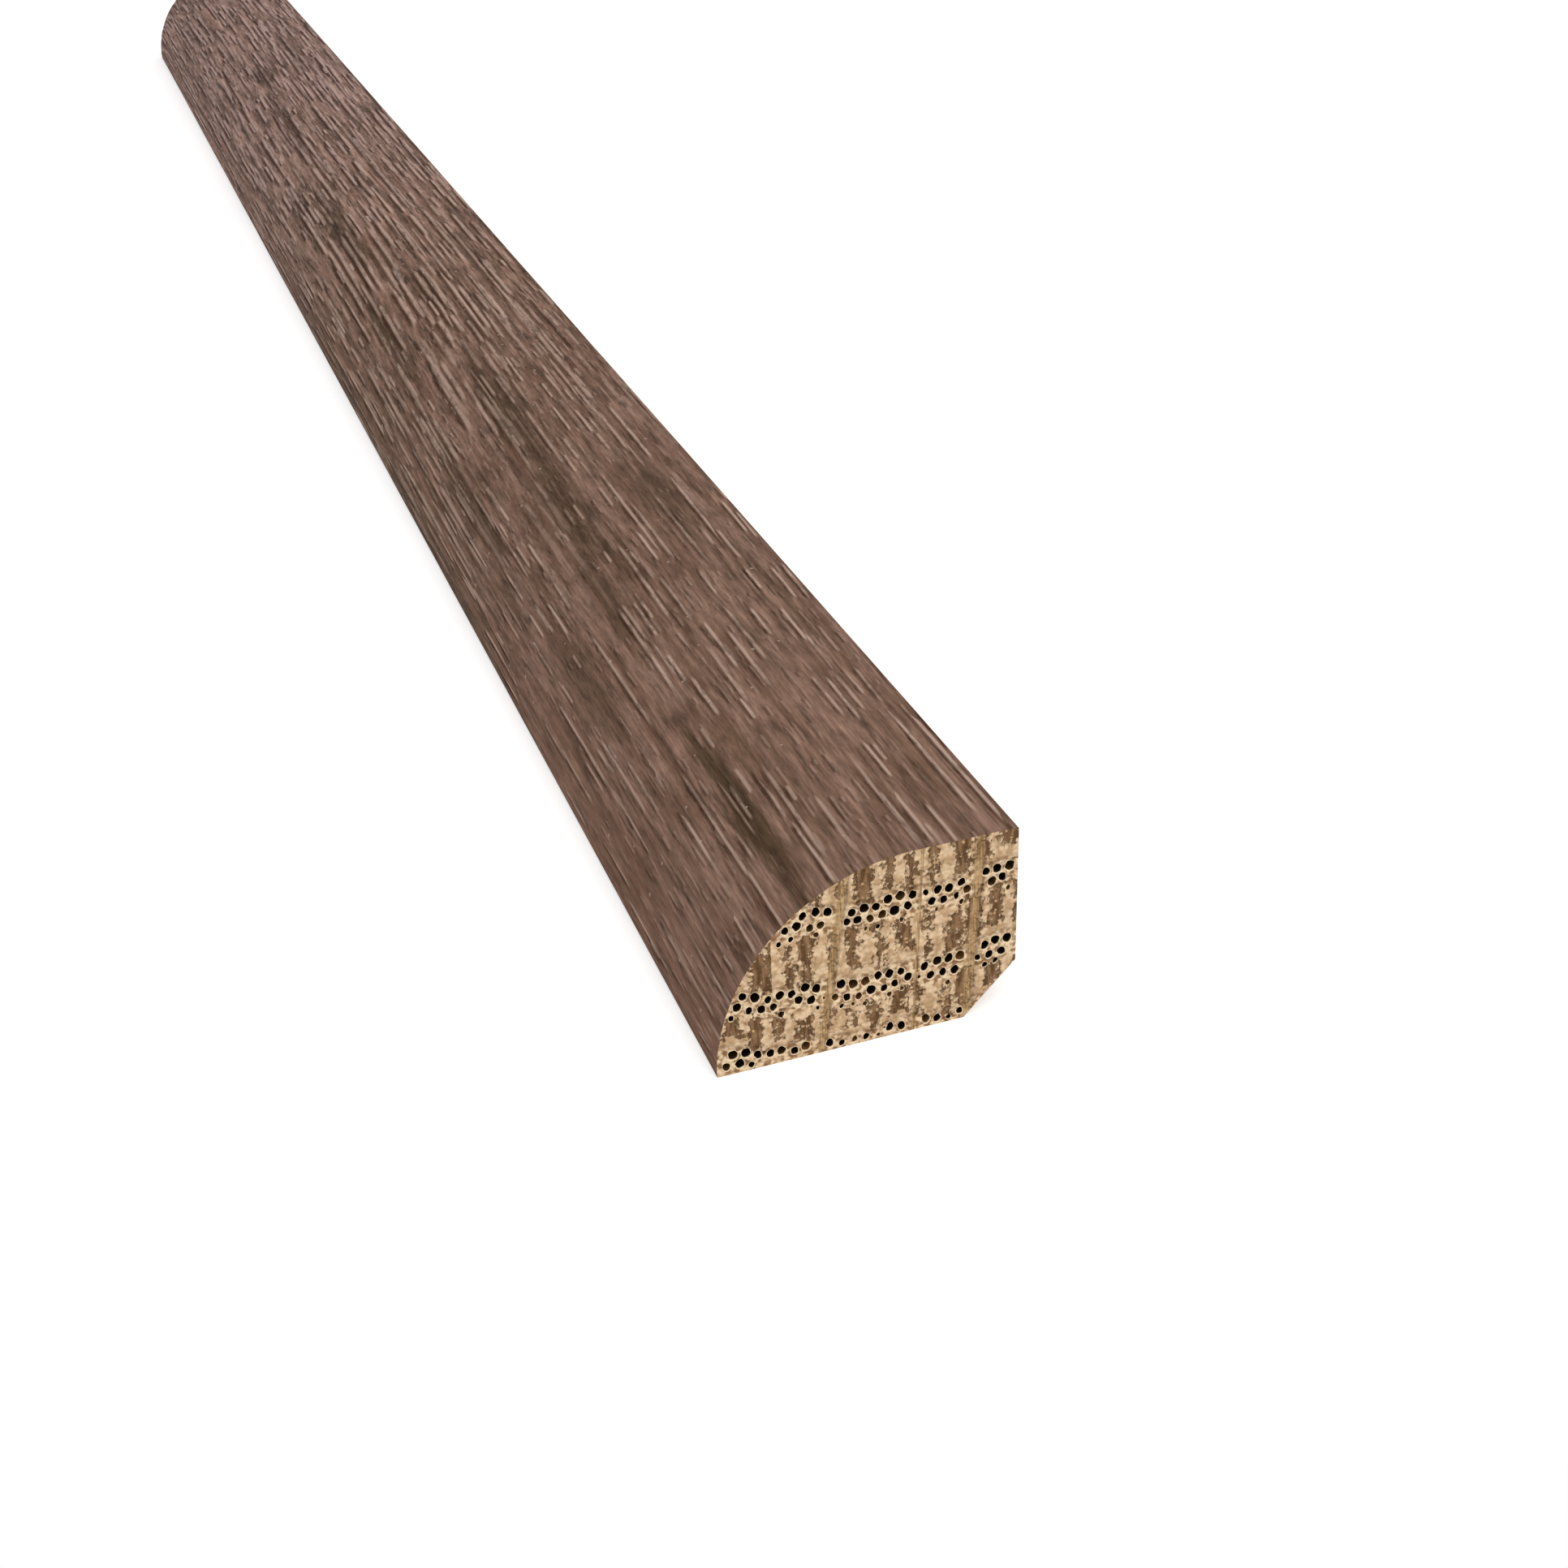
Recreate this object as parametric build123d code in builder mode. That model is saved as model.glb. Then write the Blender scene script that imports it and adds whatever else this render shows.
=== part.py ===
from build123d import *

import math
import os

# Shoe moulding: a stick of hardwood trim that covers the joint between a skirting board and the floor.
# The stick lies on its wall face, the wide one that is nailed to the skirting board.
# X runs across it from the thin toe to the floor face, Y along the grain, and Z up from the wall face.
# The origin is at mid-length, in the middle of the stick's width, on the wall face.

# Driving dimensions, in millimetres
LENGTH = 304.8  # 12 in, along the grain between the two saw cuts
WALL_WIDTH = 19.05  # 3/4 in, from toe to floor face: the stick's height once it is fitted
THICKNESS = 12.7  # 1/2 in, from the wall face to the front land
BACK_BEVEL = 4.7625  # 3/16 in, the width of the flat that takes off the corner of wall and floor
BEVEL_ANGLE = 45  # degrees, between that flat and the wall face

# Places across the section. The round is a quarter circle as deep as the stick is thick,
# so it starts square to the wall face at the toe and runs into the front land without a corner.
toe_x = -WALL_WIDTH / 2
floor_x = WALL_WIDTH / 2
land_x = toe_x + THICKNESS
bevel_run = BACK_BEVEL * math.cos(math.radians(BEVEL_ANGLE))
bevel_rise = BACK_BEVEL * math.sin(math.radians(BEVEL_ANGLE))

# One moulded length: the section is drawn at mid-length and runs out to both saw cuts.
with BuildPart() as shoe_moulding:
    with BuildSketch(Plane.XZ) as section:
        with BuildLine():
            wall_face = Line((toe_x, 0), (floor_x - bevel_run, 0))
            bevel = Line(wall_face @ 1, (floor_x, bevel_rise))
            floor_face = Line(bevel @ 1, (floor_x, THICKNESS))
            front_land = Line(floor_face @ 1, (land_x, THICKNESS))
            toe_round = TangentArc(front_land @ 1, wall_face @ 0, tangent=front_land % 1)
        make_face()
    extrude(amount=LENGTH / 2, both=True)

shoe_moulding.part.label = "shoe_moulding"
os.makedirs("parts", exist_ok=True)
export_step(shoe_moulding.part, "parts/shoe_moulding.step")

print("round radius", round(toe_round.radius, 3), "section area", round(section.sketch.area, 2))
print("volume", round(shoe_moulding.part.volume, 1), "box", shoe_moulding.part.bounding_box())
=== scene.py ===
import math

import bpy
from mathutils import Euler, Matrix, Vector


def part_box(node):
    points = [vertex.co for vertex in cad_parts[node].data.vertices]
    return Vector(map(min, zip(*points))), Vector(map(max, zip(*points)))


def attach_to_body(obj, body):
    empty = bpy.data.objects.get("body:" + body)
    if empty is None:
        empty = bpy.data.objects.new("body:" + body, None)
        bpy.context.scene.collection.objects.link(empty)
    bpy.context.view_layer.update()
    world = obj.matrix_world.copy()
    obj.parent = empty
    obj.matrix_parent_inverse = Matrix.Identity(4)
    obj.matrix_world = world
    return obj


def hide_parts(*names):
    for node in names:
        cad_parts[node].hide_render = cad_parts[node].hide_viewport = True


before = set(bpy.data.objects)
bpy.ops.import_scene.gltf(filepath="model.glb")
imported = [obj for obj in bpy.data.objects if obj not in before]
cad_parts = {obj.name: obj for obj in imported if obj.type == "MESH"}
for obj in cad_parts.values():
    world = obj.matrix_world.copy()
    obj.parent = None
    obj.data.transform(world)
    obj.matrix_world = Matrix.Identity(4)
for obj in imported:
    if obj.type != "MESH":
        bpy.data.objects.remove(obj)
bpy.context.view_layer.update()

# The stick is one length of solid oak trim. A moulder runs it to a quarter round with a flat land and a
# bevelled back corner, the front is brushed along the grain and stained, and a saw cuts it square.
# It lies loose on its wall face, with nothing fixed to it.
MM = 0.001
low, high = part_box("shoe_moulding")
length = high.y - low.y
thickness = high.z - low.z
toe_x = low.x
floor_x = high.x
land_x = toe_x + thickness
bevel_width = 4.7625 * MM
bevel_leg = bevel_width * math.sqrt(0.5)
arris = 0.1 * MM
stained_step = 0.1 * MM
bare_step = 0.8 * MM
rows_along = 240


def straight(start, end, step):
    """Points from start up to, but not with, end."""
    count = max(1, round((end - start).length / step))
    return [start.lerp(end, i / count) for i in range(count)]


def turn(centre, radius, first, last, step):
    """Points of an arc from the angle first up to, but not with, the angle last."""
    count = max(2, round(abs(last - first) * radius / step))
    angles = [first + (last - first) * i / count for i in range(count)]
    return [centre + radius * Vector((math.cos(a), math.sin(a))) for a in angles]


toe_angle = math.pi - math.asin(arris / thickness)
stained_edge = (
    turn(Vector((land_x, 0.0)), thickness, toe_angle, math.pi / 2, stained_step)
    + straight(Vector((land_x, thickness)), Vector((floor_x - arris, thickness)), stained_step)
    + turn(Vector((floor_x - arris, thickness - arris)), arris, math.pi / 2, 0.0, arris / 2)
    + [Vector((floor_x, thickness - arris))]
)
bare_edge = (
    straight(Vector((floor_x, thickness - 2 * arris)), Vector((floor_x, bevel_leg)), bare_step)
    + straight(Vector((floor_x, bevel_leg)), Vector((floor_x - bevel_leg, 0.0)), bare_step)
    + straight(Vector((floor_x - bevel_leg, 0.0)), Vector((toe_x + arris, 0.0)), bare_step)
    + turn(Vector((toe_x + arris, arris)), arris, 1.5 * math.pi, math.pi, arris / 2)
)
outline = stained_edge + bare_edge
section = bpy.data.meshes.new("section")
section.from_pydata(
    [(p.x, p.y, 0.0) for p in outline],
    [(i, (i + 1) % len(outline)) for i in range(len(outline))],
    [],
)
section.attributes.new("stained", "FLOAT", "POINT")
for i in range(len(stained_edge)):
    section.attributes["stained"].data[i].value = 1.0


class Wire:
    """One output of a node tree, for shapes and shaders alike; its operators add Math nodes."""

    def __init__(self, tree, socket=None):
        self.tree = tree
        self.socket = socket

    def node(self, kind, settings=None, inputs=None, output=0):
        """Adds any node, makes its settings first, then sets or links its sockets, and gives one output."""
        added = self.tree.nodes.new(kind)
        for name, value in (settings or {}).items():
            setattr(added, name, value)
        for name, value in (inputs or {}).items():
            for item in value if isinstance(value, list) else [value]:
                if isinstance(item, Wire):
                    self.tree.links.new(item.socket, added.inputs[name])
                else:
                    added.inputs[name].default_value = item
        return Wire(self.tree, added.outputs[output] if added.outputs else None)

    def out(self, name):
        """Another output of the same node."""
        return Wire(self.tree, self.socket.node.outputs[name])

    def maths(self, operation, *values):
        return self.node("ShaderNodeMath", {"operation": operation}, dict(enumerate(values)))

    def __add__(self, other):
        return self.maths("ADD", self, other)

    def __sub__(self, other):
        return self.maths("SUBTRACT", self, other)

    def __mul__(self, other):
        return self.maths("MULTIPLY", self, other)

    def __truediv__(self, other):
        return self.maths("DIVIDE", self, other)

    def __rsub__(self, other):
        return self.maths("SUBTRACT", other, self)

    def __gt__(self, other):
        return self.maths("GREATER_THAN", self, other)

    def __lt__(self, other):
        return self.maths("LESS_THAN", self, other)

    __radd__ = __add__
    __rmul__ = __mul__

    def __abs__(self):
        return self.maths("ABSOLUTE", self)

    def smaller(self, other):
        return self.maths("MINIMUM", self, other)

    def larger(self, other):
        return self.maths("MAXIMUM", self, other)

    def rise(self, start, end):
        """0 at start, 1 at end, and smooth between them; start may be the larger."""
        return self.node(
            "ShaderNodeMapRange",
            {"interpolation_type": "SMOOTHSTEP"},
            {"Value": self, "From Min": start, "From Max": end},
        )

    def parts(self):
        """The three values of a vector."""
        split = self.node("ShaderNodeSeparateXYZ", inputs={0: self})
        return split, split.out("Y"), split.out("Z")

    def vector(self, x, y, z=0.0):
        return self.node("ShaderNodeCombineXYZ", inputs={"X": x, "Y": y, "Z": z})

    def noise(self, x, y, z=0.0, detail=0.0, roughness=0.5):
        """Smooth noise about 0.5, with one bump to a unit."""
        return self.node(
            "ShaderNodeTexNoise",
            inputs={
                "Vector": self.vector(x, y, z),
                "Scale": 1.0,
                "Detail": detail,
                "Roughness": roughness,
            },
        )

    def cells(self, x, y):
        """The nearest of a scatter of places, about one to a unit: its distance, place and random values."""
        return self.node(
            "ShaderNodeTexVoronoi",
            {"voronoi_dimensions": "2D"},
            {"Vector": self.vector(x, y), "Scale": 1.0},
        )


def over_front(x, z):
    """How far a point of the front is from the toe, over the round and the land, in mm."""
    angle = x.maths("ARCTAN2", z, (land_x - x).larger(0.0))
    return (angle * thickness + (x - land_x).larger(0.0)) / MM


def along_grain(along, across):
    """Where a point would lie across the stick if the wavering grain ran straight, in mm."""
    slow = along.noise(along / 90.0, across / 9.0, 1.5)
    return across + 1.4 * slow + 0.14 * along.noise(along / 6.0, across / 1.2, 2.5, 2.0, 0.6)


def open_pores(along, across, reach, pitch, thick, share, seed):
    """Vessels cut open along the grain, in mm: each a groove towards the toe, dark with stain and painted
    shade, and a brushed lip beside it, pale with a painted highlight.
    """
    u = along / reach + 17.3 * seed
    v = across / pitch + 5.7 * seed
    cell = along.cells(u, v)
    middle_u, middle_v, unused = cell.out("Position").parts()
    drawn, long_share, strength = cell.out("Color").parts()
    crowd = along.noise(along / 24.0, across / 3.5, 3.1 * seed)
    shown = (drawn + 1.2 * crowd - 0.6).rise(1.0 - share, 1.0 - 0.75 * share) * (0.6 + 0.4 * strength)
    reach_here = 0.08 + 0.4 * long_share
    taper = abs(u - middle_u).rise(reach_here, reach_here * 0.7)
    wide = thick * (0.5 + 0.5 * taper)
    shown = shown * taper
    beside = (v - middle_v) * pitch
    light = abs(beside - 0.6 * thick).rise(0.95 * wide, 0.2 * wide) * shown
    dark = abs(beside + 0.7 * thick).rise(0.95 * wide, 0.2 * wide) * shown
    return light, dark


# Each kind of pore: its reach along the grain, how far apart and how thick they are in mm, the share that
# shows, and a seed.
LONG_PORES = (20.0, 0.95, 0.2, 0.5, 1)
SHORT_PORES = (9.0, 0.8, 0.18, 0.34, 2)
FINE_PORES = (4.0, 0.5, 0.15, 0.4, 3)
BROAD_PORES = (28.0, 1.1, 0.32, 0.85, 6)
FAR_PORES = (14.0, 0.9, 0.27, 0.85, 7)


def main_pores(along, across):
    """The lips and grooves of the large pores. The broad ones come in over the near third of the stick."""
    light, dark = open_pores(along, across, *LONG_PORES)
    for pores, first, last in (
        (SHORT_PORES, 140.0, 70.0),
        (BROAD_PORES, 25.0, 95.0),
        (FAR_PORES, 45.0, 120.0),
    ):
        more_light, more_dark = open_pores(along, across, *pores)
        shown = along.rise(first, last)
        light = light.larger(more_light * shown)
        dark = dark.larger(more_dark * shown)
    return light, dark


# The wood's growth rings lie nearly level in the section, and rays cross them from wall face to front.
# Each ring starts with two ranks of wide vessels and one of small ones, which the saw opens at both ends.
# In mm, a rank has its depth below the ring, its smallest and largest radius, and the share that is kept.
# A ray has its place on the wall face, its slope, and half its width.
ring_heights = (9.6, 4.45, 0.4)
vessel_ranks = ((0.0, 0.4, 0.52, 1.0), (0.8, 0.32, 0.48, 0.95), (1.48, 0.16, 0.26, 0.5))
rays = ((6.5, 0.14, 0.24), (12.35, 0.05, 0.08), (15.85, 0.065, 0.3))
vessel_spacing = 0.76
vessels_in_rank = 28
side_wander = 0.06 * MM
height_wander = 0.15 * MM
wood_between = 0.06 * MM
smallest_vessel = 0.12 * MM
often_plugged = 0.23 * MM

# One vessel's own shape, with its mouth 1 in radius.
vessel_widest = 0.92
vessel_narrowest = 0.74
vessel_sides = 14
lip_radius = 0.87
lip_depth = 0.06
wall_radius = 0.82
wall_depth = 0.3
foot_radius = 0.5
vessel_depth = 3.0


def ring_lift(x):
    """How far a ring lies above its own height at x mm from the toe: it curves up and sags between rays."""
    from_middle = x - 10.5
    return 0.01 * from_middle * from_middle + 0.14 * x.maths("SINE", (x - 4.7) * (2 * math.pi / 5.7))


shape = bpy.data.node_groups.new("moulded_stick", "GeometryNodeTree")
asked = {}
for name, kind in (
    ("Section", "NodeSocketGeometry"),
    ("Length", "NodeSocketFloat"),
    ("Rows along", "NodeSocketInt"),
    ("Pore depth", "NodeSocketFloat"),
    ("Seed", "NodeSocketInt"),
    ("Stained front", "NodeSocketMaterial"),
    ("Sawn end", "NodeSocketMaterial"),
    ("Bare back", "NodeSocketMaterial"),
):
    asked[name] = shape.interface.new_socket(name=name, in_out="INPUT", socket_type=kind)
shape.interface.new_socket(name="Stick", in_out="OUTPUT", socket_type="NodeSocketGeometry")
given = Wire(shape).node("NodeGroupInput")
half = given.out("Length") * 0.5


def named(start, name):
    """A value that the geometry carries."""
    return start.node("GeometryNodeInputNamedAttribute", {"data_type": "FLOAT"}, {"Name": name})


def store(geometry, name, value, kind="FLOAT", domain="POINT"):
    """The geometry, with a value to carry."""
    return geometry.node(
        "GeometryNodeStoreNamedAttribute",
        {"data_type": kind, "domain": domain},
        {"Geometry": geometry, "Name": name, "Value": value},
    )


# The section runs along the grain, and the brushed pores are pressed into the front.
path = given.node(
    "GeometryNodeCurvePrimitiveLine",
    inputs={"Start": given.vector(0.0, half * -1.0), "End": given.vector(0.0, half)},
)
path = path.node(
    "GeometryNodeResampleCurve", {"mode": "COUNT"}, {"Curve": path, "Count": given.out("Rows along")}
)
edge = given.node("GeometryNodeMeshToCurve", inputs={"Mesh": given.out("Section")})
edge = edge.node("GeometryNodeTransform", inputs={"Geometry": edge, "Rotation": (math.pi, 0.0, 0.0)})
swept = path.node("GeometryNodeCurveToMesh", inputs={"Curve": path, "Profile Curve": edge})
# The finish of a face: 0 is the bare back.
FRONT, END = 1.0, 2.0
swept = store(swept, "finish", (named(given, "stained") > 0.99) * FRONT, domain="FACE")
x, y, z = given.node("GeometryNodeInputPosition").parts()
along = (y + half) / MM
across = over_front(x, z)
front_width = thickness * math.pi / 2 + floor_x - land_x
straightened = along_grain(along, across)
light, dark = main_pores(along, straightened)
clear_edge = across.rise(0.2, 0.7) * across.rise(front_width / MM - 0.2, front_width / MM - 0.7)
clear_edge = clear_edge * (named(given, "stained") > 0.99)
groove = dark * clear_edge * given.out("Pore depth") * -1.0
facing = given.node(
    "ShaderNodeVectorMath", {"operation": "NORMALIZE"}, {0: given.vector((x - land_x).smaller(0.0), 0.0, z)}
)
pressed = given.node("ShaderNodeVectorMath", {"operation": "SCALE"}, {0: facing, "Scale": groove})
swept = swept.node("GeometryNodeSetPosition", inputs={"Geometry": swept, "Offset": pressed})


# One vessel: a pale lip, a wall that narrows, and a foot.
def cone(start, top, bottom, top_z, bottom_z):
    """A ring of the vessel's wall, seen from inside."""
    ring = start.node(
        "GeometryNodeMeshCone",
        {"fill_type": "NONE"},
        {
            "Vertices": vessel_sides,
            "Radius Top": top,
            "Radius Bottom": bottom,
            "Depth": top_z - bottom_z,
        },
    )
    ring = ring.node("GeometryNodeTransform", inputs={"Geometry": ring, "Translation": (0.0, 0.0, bottom_z)})
    return ring.node("GeometryNodeFlipFaces", inputs={"Mesh": ring})


foot = given.node(
    "GeometryNodeMeshCircle", {"fill_type": "NGON"}, {"Vertices": vessel_sides, "Radius": foot_radius}
)
foot = foot.node("GeometryNodeTransform", inputs={"Geometry": foot, "Translation": (0.0, 0.0, -vessel_depth)})
vessel = given.node(
    "GeometryNodeJoinGeometry",
    inputs={
        0: [
            cone(given, 1.0, lip_radius, 0.0, -lip_depth),
            cone(given, lip_radius, wall_radius, -lip_depth, -wall_depth),
            cone(given, wall_radius, foot_radius, -wall_depth, -vessel_depth),
            foot,
        ]
    },
)
lip_x, lip_y, unused = given.node("GeometryNodeInputPosition").parts()
from_axis = given.maths("SQRT", lip_x * lip_x + lip_y * lip_y)
vessel = store(vessel, "pit", (1.0 - from_axis) / (1.0 - foot_radius))
mouth = given.node(
    "GeometryNodeCurvePrimitiveCircle", {"mode": "RADIUS"}, {"Resolution": vessel_sides, "Radius": 1.0}
)


def random(start, smallest, largest, seed):
    """A random value for each point, between two sizes."""
    limits = {2: smallest, 3: largest, 8: seed}
    return start.node("FunctionNodeRandomValue", {"data_type": "FLOAT"}, limits, 1)


def uneven(geometry):
    """Drawn ovals, pushed a little out of shape; what lies at one place moves alike."""
    bump = 0.3 * MM
    push = 0.14 * MM
    x, y, unused = geometry.node("GeometryNodeInputPosition").parts()
    x_noise = geometry.noise(x / bump, y / bump, 1.0) - 0.5
    y_noise = geometry.noise(x / bump, y / bump, 9.0) - 0.5
    pushed = geometry.vector(x_noise * push, y_noise * push)
    return geometry.node("GeometryNodeSetPosition", inputs={"Geometry": geometry, "Offset": pushed})


def sawn_end(start, loop, seed):
    """A saw cut drawn flat, with x across and y up the section: the face and its vessels."""
    ranks = []
    for ring, height in enumerate(ring_heights):
        for rank, (below, smallest, largest, kept) in enumerate(vessel_ranks):
            salt = seed + 60 * ring + 20 * rank
            first = (toe_x + (0.35 + 0.5 * rank) * vessel_spacing * MM, (height - below) * MM, 0.0)
            line = start.node(
                "GeometryNodeMeshLine",
                inputs={
                    "Count": vessels_in_rank,
                    "Start Location": first,
                    "Offset": (vessel_spacing * MM, 0.0, 0.0),
                },
            )
            x, unused, unused = line.node("GeometryNodeInputPosition").parts()
            wander = line.vector(
                random(line, -side_wander, side_wander, salt + 1),
                random(line, -height_wander, height_wander, salt + 2) + ring_lift((x - toe_x) / MM) * MM,
            )
            line = line.node("GeometryNodeSetPosition", inputs={"Geometry": line, "Offset": wander})
            line = store(line, "size", random(line, smallest * MM, largest * MM, salt + 3))
            left_out = {"Geometry": line, "Selection": random(line, 0.0, 1.0, salt + 4) > kept}
            ranks.append(line.node("GeometryNodeDeleteGeometry", {"domain": "POINT"}, left_out))
    points = start.node("GeometryNodeJoinGeometry", inputs={0: ranks})

    # A vessel is taller than wide and never reaches its neighbour: it goes at most half the way there.
    x, y, unused = points.node("GeometryNodeInputPosition").parts()
    place = points.vector(x / vessel_widest, y)
    near = points.node("GeometryNodeIndexOfNearest", inputs={"Position": place})
    other = points.node(
        "GeometryNodeSampleIndex",
        {"data_type": "FLOAT_VECTOR"},
        {"Geometry": points, "Value": place, "Index": near},
    )
    apart = points.node("ShaderNodeVectorMath", {"operation": "DISTANCE"}, {0: place, 1: other}, "Value")
    size = named(points, "size").smaller(apart * 0.49)

    # Vessels by the outline or a ray are smaller, and those with too little room are left out.
    left = (land_x - x).larger(0.0)
    clear = thickness - points.maths("SQRT", left * left + y * y)
    clear = clear.smaller(floor_x - x).smaller(y).smaller((y - x + floor_x - bevel_leg) * math.sqrt(0.5))
    for base_x, slope, half_width in rays:
        from_ray = abs(x - toe_x - y * slope - base_x * MM) - half_width * 0.4 * MM
        clear = clear.smaller(from_ray / vessel_widest)
    size = size.smaller((clear - wood_between) * 0.92)
    points = store(points, "size", size)
    points = store(points, "plugged", random(points, 0.0, 1.0, seed + 6) + 0.6 * (size < often_plugged))
    points = points.node(
        "GeometryNodeDeleteGeometry",
        {"domain": "POINT"},
        {"Geometry": points, "Selection": size < smallest_vessel},
    )

    size = named(points, "size")
    oval = points.vector(size * random(points, vessel_narrowest, vessel_widest, seed + 7), size, size)
    turned = points.vector(0.0, 0.0, random(points, -0.3, 0.3, seed + 8))
    spread = {"Points": points, "Rotation": turned, "Scale": oval}
    vessels = points.node("GeometryNodeInstanceOnPoints", inputs={**spread, "Instance": vessel})
    mouths = points.node("GeometryNodeInstanceOnPoints", inputs={**spread, "Instance": mouth})
    vessels = uneven(vessels.node("GeometryNodeRealizeInstances", inputs={"Geometry": vessels}))
    mouths = uneven(mouths.node("GeometryNodeRealizeInstances", inputs={"Geometry": mouths}))
    edges = start.node("GeometryNodeJoinGeometry", inputs={0: [loop, mouths]})
    face = edges.node("GeometryNodeFillCurve", {"mode": "TRIANGLES"}, {"Curve": edges})
    cut = start.node("GeometryNodeJoinGeometry", inputs={0: [face, vessels]})
    return store(cut, "finish", END, domain="FACE")


def upright(geometry, angle, y):
    """Turns a drawn saw cut up to its end of the stick, or an end's edge down flat."""
    return geometry.node(
        "GeometryNodeTransform",
        inputs={
            "Geometry": geometry,
            "Translation": geometry.vector(0.0, y),
            "Rotation": (angle, 0.0, 0.0),
        },
    )


open_edge = given.node("GeometryNodeInputMeshEdgeNeighbors") < 1.5
stick = [swept]
for side in (-1.0, 1.0):
    at_end = open_edge * (y * side > 0.0)
    loop = swept.node("GeometryNodeMeshToCurve", inputs={"Mesh": swept, "Selection": at_end})
    cut = sawn_end(given, upright(loop, -math.pi / 2, 0.0), given.out("Seed") + (300 if side > 0 else 0))
    if side > 0:
        cut = cut.node("GeometryNodeTransform", inputs={"Geometry": cut, "Scale": (1.0, 1.0, -1.0)})
        cut = cut.node("GeometryNodeFlipFaces", inputs={"Mesh": cut})
    stick.append(upright(cut, math.pi / 2, half * side))
weld_gap = 0.002 * MM
sharp_angle = math.radians(32)
stick = given.node("GeometryNodeJoinGeometry", inputs={0: stick})
stick = stick.node("GeometryNodeMergeByDistance", inputs={"Geometry": stick, "Distance": weld_gap})
stick = stick.node("GeometryNodeSetShadeSmooth", inputs={"Geometry": stick, "Shade Smooth": True})
corner = given.node("GeometryNodeInputMeshEdgeAngle") > sharp_angle
stick = store(stick, "sharp_edge", corner, "BOOLEAN", "EDGE")

# The flat layout of the stick for its colour map, in pixels: the front, the back above it, and the two ends
# side by side at the top.
MAP_SIZE = 1024
map_margin = 9.0
map_run = 1006.0
end_run = 362.0
end_to_end = 382.0
front_low, front_tall = 8.0, 579.0
back_low, back_tall = 595.0, 164.0
end_low, end_tall = 767.0, 241.0
finish = named(given, "finish")
on_front = abs(finish - FRONT) < 0.5
on_end = abs(finish - END) < 0.5
below_land = thickness - z.larger(bevel_leg)
down_bevel = (bevel_leg - z.smaller(bevel_leg)) * math.sqrt(2.0)
over_wall = (floor_x - bevel_leg - x).larger(0.0)
back_width = thickness - 2 * bevel_leg + bevel_leg * math.sqrt(2.0) + floor_x - toe_x
map_along = map_margin + map_run / (length / MM) * along
end_u = map_margin + end_run * (x - toe_x) / (floor_x - toe_x) + (y > 0.0) * end_to_end
map_u = map_along + on_end * (end_u - map_along)
front_v = front_low + front_tall / front_width * MM * across
back_v = back_low + back_tall / back_width * (below_land + down_bevel + over_wall)
end_v = end_low + end_tall / thickness * z
map_v = back_v + on_front * (front_v - back_v) + on_end * (end_v - back_v)
stick = store(stick, "OFBake", given.vector(map_u / MAP_SIZE, map_v / MAP_SIZE), "FLOAT2", "CORNER")
stick = stick.node("GeometryNodeRealizeInstances", inputs={"Geometry": stick})
for chosen, cover in ((None, "Bare back"), (on_front, "Stained front"), (on_end, "Sawn end")):
    wanted = {"Geometry": stick, "Material": given.out(cover)}
    if chosen:
        wanted["Selection"] = chosen
    stick = stick.node("GeometryNodeSetMaterial", inputs=wanted)
stick.node("NodeGroupOutput", inputs={0: stick})


def tint(red, green, blue):
    """A colour as it is seen, from 0 to 255, as the shader takes it."""
    seen = [c / 255 for c in (red, green, blue)]
    return tuple(c / 12.92 if c <= 0.04045 else ((c + 0.055) / 1.055) ** 2.4 for c in seen) + (1.0,)


def mixed(factor, first, second):
    """A colour between two, by a factor that varies."""
    return factor.node("ShaderNodeMix", {"data_type": "RGBA"}, {0: factor, 6: first, 7: second}, 2)


def shaded(colour, factor):
    """A colour, lighter or darker by a factor that varies."""
    return colour.node("ShaderNodeVectorMath", {"operation": "SCALE"}, {0: colour, "Scale": factor})


def raised(height, depth):
    """The surface's direction, with fine relief of this depth."""
    return height.node("ShaderNodeBump", inputs={"Height": height, "Distance": depth, "Strength": 1.0})


def finish_of(name):
    """A new material, a wire to start its nodes from, and its shader's own node."""
    made = bpy.data.materials.new(name)
    made.use_nodes = True
    return made, Wire(made.node_tree), made.node_tree.nodes["Principled BSDF"]


def attach(shader, name, wire):
    wire.tree.links.new(wire.socket, shader.inputs[name])


# Stain and clear coat on the round and the land. Streaks of late wood took the stain darker: where each one
# starts and ends along the stick, where it lies from the toe, how wide it is, and how dark.
dark_streaks = (
    (-3, 24, 12.7, 1.9, 1.0),
    (28, 44, 8.5, 2.8, 0.55),
    (32, 50, 13.4, 2.0, 0.6),
    (45, 70, 14.8, 3.4, 0.75),
    (58, 86, 8.0, 2.3, 0.7),
    (66, 96, 15.2, 2.9, 0.8),
    (46, 64, 21.5, 3.2, 0.6),
    (56, 112, 0.8, 2.8, 0.7),
    (104, 180, 1.2, 3.4, 0.5),
    (100, 130, 10.0, 2.0, 0.75),
    (132, 168, 12.0, 2.4, 0.85),
    (146, 166, 2.7, 1.6, 0.6),
    (182, 216, 13.8, 2.4, 0.8),
    (219, 233, 15.0, 2.8, 0.9),
    (221, 250, 20.8, 2.2, 0.7),
    (238, 262, 5.2, 1.6, 0.6),
    (236, 306, 11.5, 1.6, 0.4),
)
stain, start, shader = finish_of("stained_oak_front")
x, y, z = start.node("ShaderNodeTexCoord", output="Object").parts()
along = (y + length / 2) / MM
across = over_front(x, z)
straightened = along_grain(along, across)
ragged = start.noise(along / 7.0, straightened / 0.55, 4.0, 3.0, 0.7) - 0.5
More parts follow.
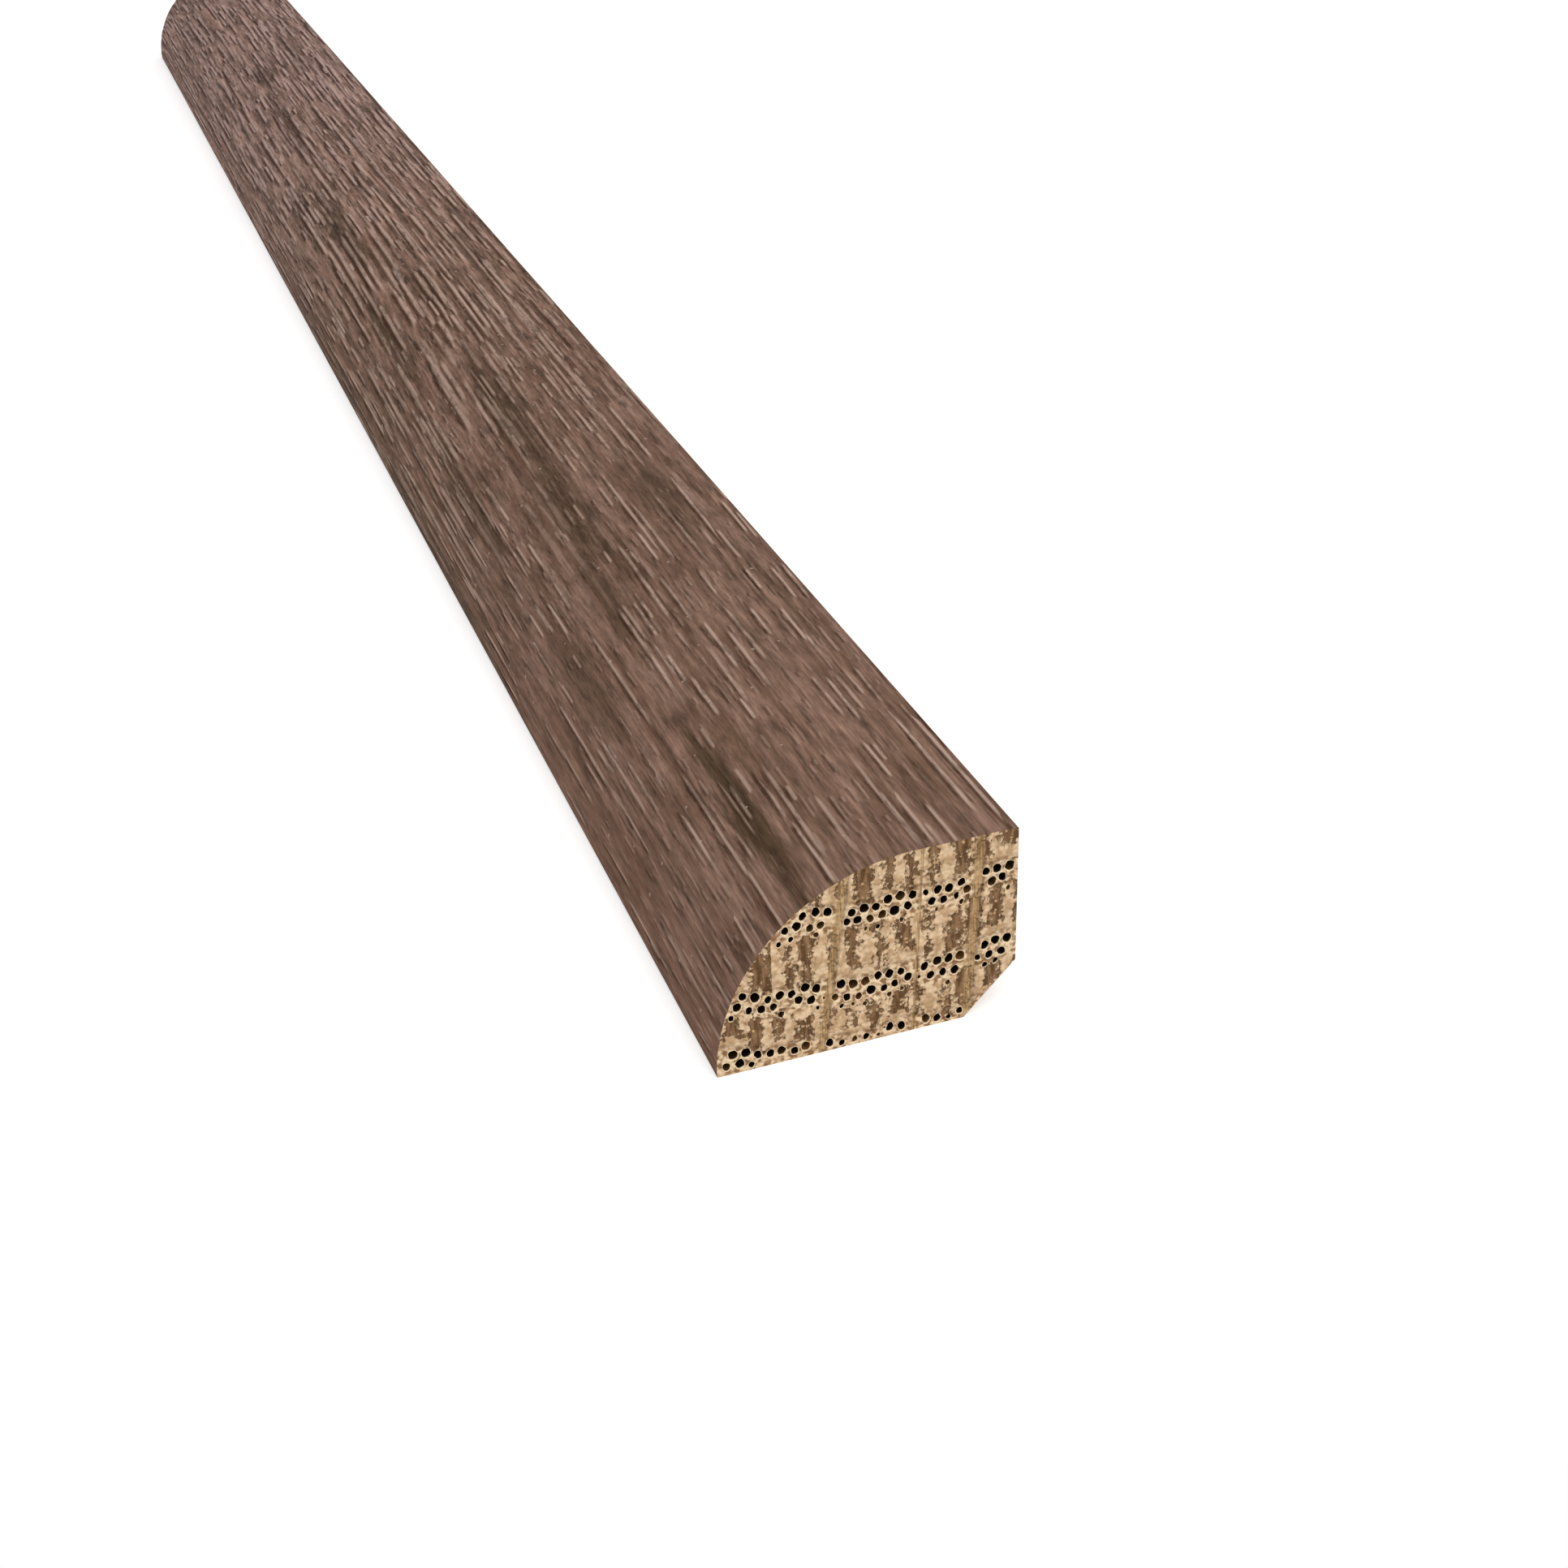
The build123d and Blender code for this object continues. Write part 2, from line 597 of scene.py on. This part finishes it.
streak = start.noise(along / 24.0, straightened / 1.2, 8.0, 3.0, 0.6).rise(0.54, 0.7) * 0.6
for begins, ends, middle, width, darkness in dark_streaks:
    lengthwise = (along - (begins + ends) / 2) / ((ends - begins) / 2)
    sideways = (across - middle) / (width / 2)
    inside = lengthwise * lengthwise + sideways * sideways + 3.6 * ragged
    streak = streak.larger(inside.rise(1.5, 0.2) * darkness)
light, dark = main_pores(along, straightened)
fine_light, fine_dark = open_pores(along, straightened, *FINE_PORES)
light = light.larger(0.35 * fine_light)
dark = dark.larger(0.7 * fine_dark)
fibre = start.noise(along / 3.2, straightened / 0.32, 12.0, 2.0, 0.6)
hair = start.noise(along / 7.0, straightened / 0.18, 24.0, 1.0, 0.5)
grit = start.noise(along / 4.5, straightened / 0.75, 20.0, 3.0, 0.85)
swathe = start.noise(along / 22.0, straightened / 0.8, 28.0, 2.0, 0.6)
mottle = start.noise(along / 13.0, straightened / 1.1, 16.0, 2.0, 0.55)
speck = start.cells(along / 4.0, across / 4.0)
speck_drawn, speck_size, unused = speck.out("Color").parts()
speck = speck.out("Distance").rise(0.02 + 0.035 * speck_size, 0.01) * (speck_drawn > 0.6)
# Painted sheen: towards the far end, which is seen at a grazing angle, the front is made paler and greyer.
far_sheen = along.rise(100.0, 230.0)
colour = mixed(mottle.rise(0.34, 0.66), tint(109, 83, 68), tint(136, 107, 92))
colour = mixed(far_sheen, colour, mixed(mottle.rise(0.34, 0.66), tint(114, 88, 77), tint(152, 124, 113)))
# Painted shade: towards the toe the front is made redder and a little darker.
colour = mixed(across.rise(7.0, 0.5) * 0.45, colour, tint(121, 84, 63))
colour = mixed(streak * 0.92, colour, mixed(far_sheen, tint(76, 59, 43), tint(76, 58, 48)))
far_away = along.rise(50.0, 150.0)
deep = along.rise(15.0, 60.0) * along.rise(150.0, 100.0)
tone = 1.0 - 0.085 * deep + 1.15 * (fibre - 0.5) + 0.6 * (hair - 0.5)
tone = tone + (2.0 + 0.6 * far_away) * (grit - 0.5) + 2.8 * far_away * (swathe - 0.5)
colour = shaded(colour, tone)
broken = grit.rise(0.38, 0.52)
# The grooves are dark stain with painted shade, and the lips are brushed wood with a painted highlight.
groove_stain_and_shade_tint = mixed(far_sheen, tint(62, 39, 25), tint(64, 39, 32))
lip_wear_and_highlight_tint = mixed(far_sheen, tint(188, 161, 145), tint(190, 162, 154))
colour = mixed(dark * (0.95 - (0.4 - 0.35 * far_away) * broken), colour, groove_stain_and_shade_tint)
colour = mixed(light * (0.4 + 0.5 * broken) * (1.0 - 0.5 * streak), colour, lip_wear_and_highlight_tint)
colour = mixed(speck * 0.6, colour, tint(192, 171, 155))
attach(shader, "Base Color", colour)
attach(shader, "Roughness", 0.6 + 0.12 * dark)
attach(shader, "Normal", raised(0.5 * fibre + 0.5 * light - dark, 0.04 * MM))
shader.inputs["Specular IOR Level"].default_value = 0.02

# Bare sawn wood on the two ends: pale round the vessels, with brown columns of fibre between the rings.
sawn, start, shader = finish_of("sawn_oak_end")
x, y, z = start.node("ShaderNodeTexCoord", output="Object").parts()
across = (x - toe_x) / MM
up = z / MM
# The far end has its pattern from another place.
far_shift = (y > 0.0) * 41.0
level = up - ring_lift(across)


def in_pore_band(level):
    """1 within the band of wide vessels at the start of each ring, fading to 0 outside it."""
    band = None
    for height in ring_heights:
        inside = level.rise(height - 1.7, height - 1.2) * level.rise(height + 0.75, height + 0.35)
        band = band.larger(inside) if band else inside
    return band


def column(across, level, top, foot, frayed, seed):
    """How far inside a brown column of late wood a point is, in mm; a row of them stands between rings."""
    spacing = 1.5
    place = across / spacing + seed
    number = place.maths("FLOOR", place)
    drawn = number.node("ShaderNodeTexWhiteNoise", {"noise_dimensions": "1D"}, {"W": number}, "Color")
    shift, width, height = drawn.parts()
    half_width = 0.16 + 0.54 * width
    inside = half_width - abs(place - number - 0.3 - 0.4 * shift) * spacing + 2.6 * frayed
    upper = top - 1.2 * shift - level + 3.0 * frayed
    lower = level - foot - 1.0 * height + 3.0 * frayed
    return inside.smaller(upper).smaller(lower)


band = in_pore_band(level)
frayed = start.noise(across / 0.75 + far_shift, up / 1.2, 2.0, 3.0, 0.78) - 0.5
tongue = column(across, level, 14.6, 10.0, frayed, 3.3)
for top, foot, seed in ((8.7, 4.9, 40.6), (3.6, 0.6, 80.9)):
    tongue = tongue.larger(column(across, level, top, foot, frayed, seed + far_shift))
grain = start.cells(across / 0.3 + 2.0 * frayed + far_shift, up / 0.3)
grains = grain.out("Distance").rise(0.8, 0.1)
tongue = tongue - 0.3 * (grains - 0.4)
edge = tongue.rise(-0.2, 0.05) * tongue.rise(0.35, 0.1)
tongue = tongue.rise(-0.16, 0.24)
lumps = start.noise(across / 0.55 + far_shift, up / 0.7, 13.0, 1.0, 0.5)
smear = start.noise(across / 0.3 + far_shift, up / 1.6, 17.0, 1.0, 0.5)
foam = start.noise(across / 0.4 + far_shift, up / 0.4, 31.0, 1.0, 0.5)
colour = mixed(lumps.rise(0.4, 0.62), tint(220, 190, 154), tint(190, 156, 119))
# In the pore band the pale vessel walls get a painted highlight, and the gaps between them get painted shade.
colour = mixed(band * foam.rise(0.5, 0.36) * 0.8, colour, tint(238, 212, 176))
colour = mixed(band * foam.rise(0.48, 0.62) * 0.9, colour, tint(134, 99, 66))
colour = shaded(colour, 0.92 + 0.13 * grains)
brown = mixed(smear.rise(0.36, 0.62), tint(142, 109, 78), tint(98, 71, 47))
dots_drawn, unused, unused = grain.out("Color").parts()
brown = mixed(grain.out("Distance").rise(0.45, 0.15) * (dots_drawn > 0.85), brown, tint(196, 162, 124))
colour = mixed(tongue, colour, brown)
# Painted shade in the crevices along the edges of the columns.
colour = mixed(edge * lumps.rise(0.42, 0.6) * 0.4, colour, tint(92, 64, 42))
for base_x, slope, half_width in rays:
    beside = across - up * slope - base_x
    ray = abs(beside + 0.2 * (lumps - 0.5)).rise(half_width * 1.3, half_width * 0.7)
    threads = start.noise(across / 0.09, up / 1.6, base_x)
    ray_colour = mixed(threads.rise(0.3, 0.7), tint(150, 118, 80), tint(196, 162, 116))
    edge_shade = beside.rise(half_width * 0.5, half_width * 1.1)
    edge_shade = edge_shade * beside.rise(half_width * 1.9, half_width * 1.2)
    colour = mixed(ray * 0.8, colour, ray_colour)
    colour = mixed(edge_shade * lumps, colour, tint(96, 68, 44))
pit = start.node("ShaderNodeAttribute", {"attribute_name": "pit"}, output="Fac")
plugged = start.node("ShaderNodeAttribute", {"attribute_name": "plugged"}, output="Fac")
# Deep in an open vessel the colour is near black, which is painted shade; a plugged vessel is brown.
pit_shade_and_plug = mixed(plugged.rise(0.8, 1.0), tint(22, 14, 9), tint(112, 78, 46))
colour = mixed(pit.rise(0.0, 0.05), colour, tint(240, 216, 180))
colour = mixed(pit.rise(0.26, 0.36), colour, pit_shade_and_plug)
attach(shader, "Base Color", colour)
shader.inputs["Roughness"].default_value = 0.85
shader.inputs["Specular IOR Level"].default_value = 0.05
relief = 0.2 * grains + 1.3 * lumps - 0.8 * tongue - 1.2 * band * foam
attach(shader, "Normal", raised(relief, 0.18 * MM))

# Bare planed wood on the wall face, the bevel and the floor face, with stain that ran over the edges.
planed, start, shader = finish_of("planed_oak_back")
x, y, z = start.node("ShaderNodeTexCoord", output="Object").parts()
along = (y + length / 2) / MM
across = (x - toe_x) / MM
up = z / MM
round_back = across + up
waver = start.noise(along / 70.0, round_back / 8.0, 3.0) - 0.5
level = up - ring_lift(across) + 1.8 * waver
band = in_pore_band(level)
unused, long_dark = open_pores(along, round_back + 2.0 * waver, 19.0, 0.55, 0.25, 0.8, 4)
unused, short_dark = open_pores(along, round_back + 2.0 * waver, 7.0, 0.45, 0.22, 0.7, 5)
vessel_line = long_dark.larger(short_dark)
fibre = start.noise(along / 7.0, across / 0.25, up / 0.25, 2.0, 0.6)
tone = start.noise(along / 60.0, across / 3.0, up / 2.0, 1.0)
fleck = start.noise(along / 2.2, across / 0.5, up / 1.4, 1.0).rise(0.6, 0.72)
knife = start.maths("SINE", along * (2 * math.pi / 1.3))
colour = mixed(tone.rise(0.3, 0.7), tint(186, 154, 116), tint(206, 176, 138))
colour = mixed(band * 0.35, colour, tint(172, 140, 102))
colour = shaded(colour, 0.72 + 0.56 * fibre)
colour = mixed(fleck * (0.5 - 0.4 * band), colour, tint(216, 190, 152))
colour = mixed(vessel_line * (0.25 + 0.6 * band), colour, tint(126, 94, 64))
spill = start.noise(along / 4.0, round_back / 2.0, 5.0, 2.0, 0.6) - 0.5
run_over = (thickness / MM - up).rise(0.45 + 0.8 * spill, 0.2 + 0.6 * spill)
run_over = run_over.larger(across.rise(0.45 + 0.8 * spill, 0.2 + 0.6 * spill))
colour = mixed(run_over * 0.9, colour, tint(112, 88, 74))
attach(shader, "Base Color", colour)
attach(shader, "Roughness", 0.72 - 0.12 * run_over)
shader.inputs["Specular IOR Level"].default_value = 0.25
attach(shader, "Normal", raised(0.6 * fibre + 0.12 * knife - vessel_line * (0.3 + 0.7 * band), 0.04 * MM))

piece = bpy.data.objects.new("section_of_stick", section)
bpy.context.scene.collection.objects.link(piece)
modifier = piece.modifiers.new("moulded_stick", "NODES")
modifier.node_group = shape
for name, value in {
    "Length": length,
    "Rows along": rows_along,
    "Pore depth": 0.05 * MM,
    "Seed": 3,
    "Stained front": stain,
    "Sawn end": sawn,
    "Bare back": planed,
}.items():
    modifier[asked[name].identifier] = value
bpy.context.view_layer.update()
evaluated = piece.evaluated_get(bpy.context.evaluated_depsgraph_get())
mesh = bpy.data.meshes.new_from_object(evaluated)
bpy.data.objects.remove(piece)
mesh.name = "moulded_stick"
# The section's own empty slot comes first, and no face uses it.
mesh.materials.pop(index=0)
moulding = bpy.data.objects.new("moulded_stick", mesh)
bpy.context.scene.collection.objects.link(moulding)
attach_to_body(moulding, "root")
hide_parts("shoe_moulding")

# The floor is a plain pale sheet that the stick lies on. It isn't part of the object.
# To the camera it is white, apart from the stick's soft shadow. Far off it glows more, to stay white there.
floor_mesh = bpy.data.meshes.new("floor")
floor_reach = 3.0
floor_gap = 0.02 * MM
corners = [(sx * floor_reach, sy * floor_reach, 0.0) for sx, sy in ((-1, -1), (1, -1), (1, 1), (-1, 1))]
floor_mesh.from_pydata(corners, [], [(0, 1, 2, 3)])
floor = bpy.data.objects.new("floor", floor_mesh)
floor.location.z = -floor_gap
bpy.context.scene.collection.objects.link(floor)
pale, start, shader = finish_of("pale_floor")
shader.inputs["Base Color"].default_value = (0.85, 0.85, 0.85, 1.0)
shader.inputs["Roughness"].default_value = 0.9
shader.inputs["Emission Strength"].default_value = 1.0
ray = start.node("ShaderNodeLightPath")
seen = ray.larger(ray.out("Is Glossy Ray")).larger(ray.out("Is Transmission Ray"))
x, y, unused = start.node("ShaderNodeTexCoord", output="Object").parts()
distance = start.maths("SQRT", x * x + y * y)
whiter = mixed(distance.rise(0.3, 1.2), (0.35, 0.35, 0.35, 1.0), (0.62, 0.62, 0.62, 1.0))
attach(shader, "Emission Color", mixed(seen, (0.0, 0.0, 0.0, 1.0), whiter))
floor_mesh.materials.append(pale)

# Soft studio light: a white room, a broad lamp above the near end and a weaker one beyond the far end.
# Together they light the land of the stick at about the level its colours are written for.
world = bpy.data.worlds.new("white_room")
world.use_nodes = True
bpy.context.scene.world = world
start = Wire(world.node_tree)
ray = start.node("ShaderNodeLightPath")
seen = ray.larger(ray.out("Is Glossy Ray")).larger(ray.out("Is Transmission Ray"))
backing = world.node_tree.nodes["Background"]
backing.inputs["Color"].default_value = (1.0, 1.0, 1.0, 1.0)
attach(backing, "Strength", 0.5 + 0.5 * seen)
for name, place, width, power, in_gloss in (
    ("soft_box", (0.05, -0.7, 0.8), 1.0, 6.9, True),
    ("far_soft_box", (0.0, 0.9, 0.11), 0.2, 1.8, False),
):
    lamp_data = bpy.data.lights.new(name, "AREA")
    lamp_data.shape = "DISK"
    lamp_data.size = width
    lamp_data.energy = power
    lamp = bpy.data.objects.new(name, lamp_data)
    lamp.location = place
    lamp.rotation_euler = (-lamp.location).to_track_quat("-Z", "Y").to_euler()
    lamp.visible_glossy = in_gloss
    bpy.context.scene.collection.objects.link(lamp)

# The camera stands low at the near end, to the left of the stick, and looks down along it.
# Its place and lens follow the lines of the stick in the picture.
camera_data = bpy.data.cameras.new("camera")
camera_data.lens = 49.642
camera_data.sensor_width = 36.0
camera = bpy.data.objects.new("camera", camera_data)
camera.location = (-37.755 * MM, -248.593 * MM, 78.864 * MM)
pitch_down = math.radians(30.54)
heading = math.radians(18.926)
roll = math.radians(-1.972)
aim = Euler((math.pi / 2 - pitch_down, 0.0, -heading)).to_matrix() @ Euler((0.0, 0.0, roll)).to_matrix()
camera.rotation_euler = aim.to_euler()
bpy.context.scene.collection.objects.link(camera)
bpy.context.scene.camera = camera
bpy.context.scene.view_settings.view_transform = "Standard"
